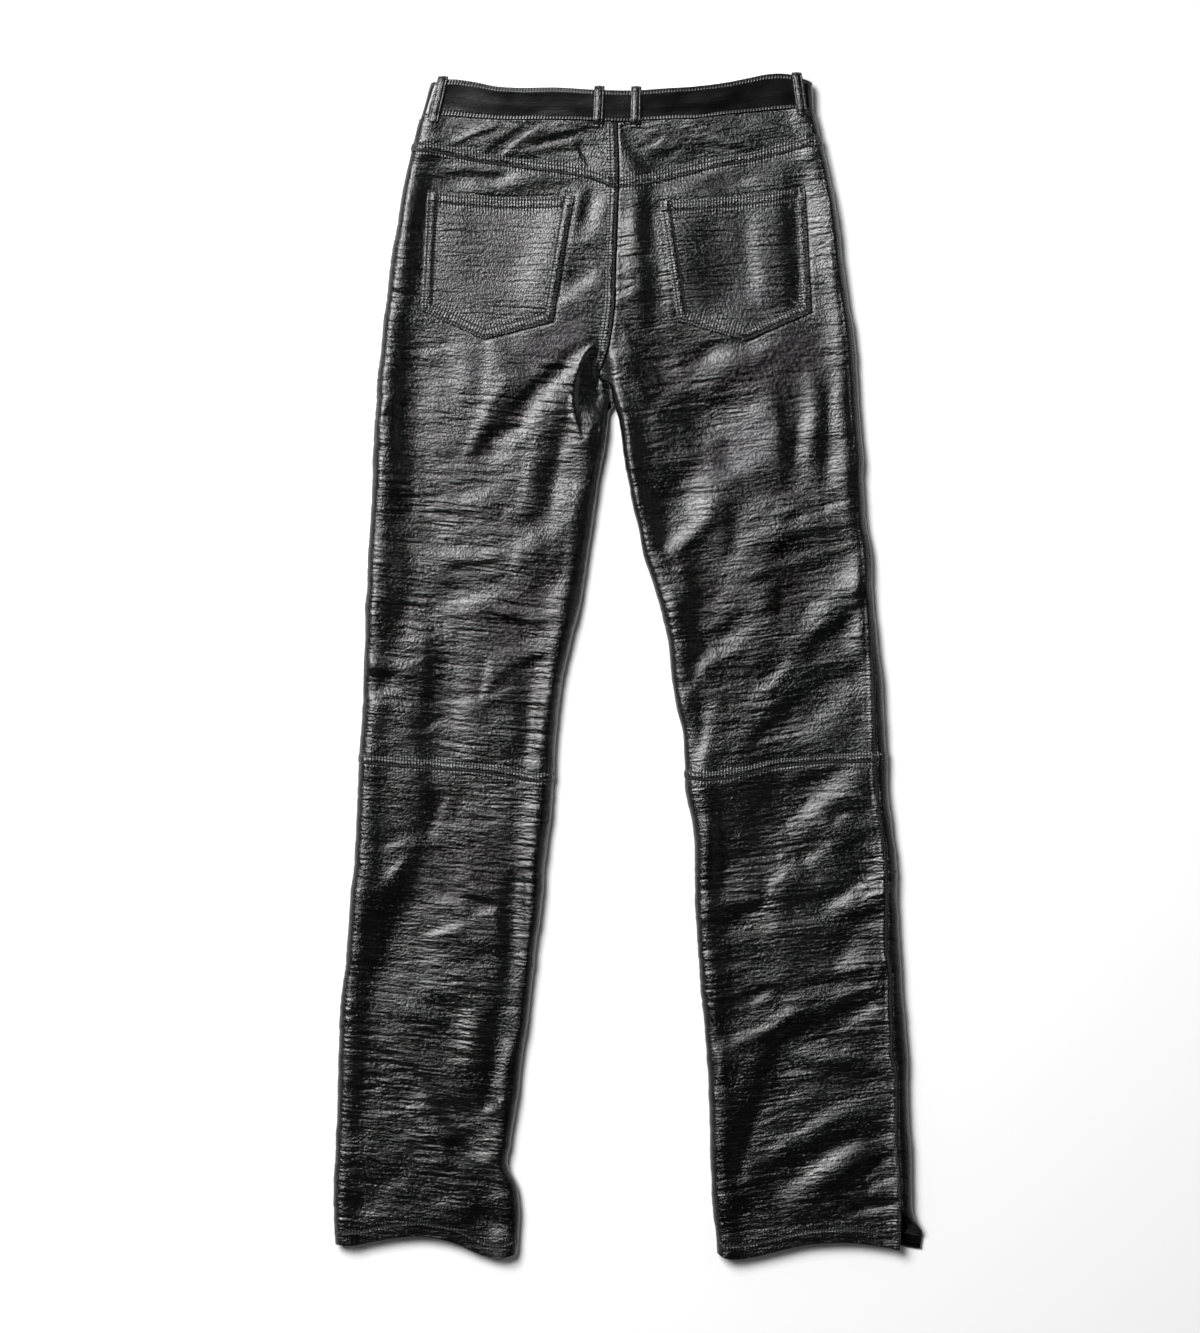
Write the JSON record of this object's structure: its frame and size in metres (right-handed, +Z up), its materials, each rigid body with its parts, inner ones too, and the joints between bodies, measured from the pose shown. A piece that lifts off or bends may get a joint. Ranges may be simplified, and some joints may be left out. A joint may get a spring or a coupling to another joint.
{
  "type": "leather trousers laid out flat",
  "caption": "Straight-leg leather trousers in a jeans cut, laid flat back up, with yokes, patch pockets, belt loops, knee seams and side-hem vents; hollow and open at waist and hems.",
  "frame": {"origin": "on the surface the garment lies on, under the middle of its box", "axes": "+Y from the hems to the waist, +X to the wearer's right, +Z up, out of the back of the garment"},
  "size_m": [0.5886, 1.1864, 0.0206],
  "materials": {
    "leather": "black glossy aniline cowhide with fine creases",
    "zip_metal": "darkened brass teeth on black tape",
    "button_metal": "darkened brass, turned"
  },
  "bodies": {
    "root": {"back_yoke_left": "leather", "back_yoke_right": "leather", "back_thigh_left": "leather", "back_thigh_right": "leather", "back_calf_left": "leather", "back_calf_right": "leather", "front_thigh_left": "leather", "front_thigh_right": "leather", "front_calf_left": "leather", "front_calf_right": "leather", "back_pocket_left": "leather", "back_pocket_right": "leather", "waistband": "leather", "fly_underlap": "leather", "belt_loop_side_left": "leather", "belt_loop_centre_left": "leather", "belt_loop_centre_right": "leather", "belt_loop_side_right": "leather", "belt_loop_front_left": "leather", "belt_loop_front_right": "leather", "fly_zip": "zip_metal", "waist_button": "button_metal"}
  },
  "joints": []
}
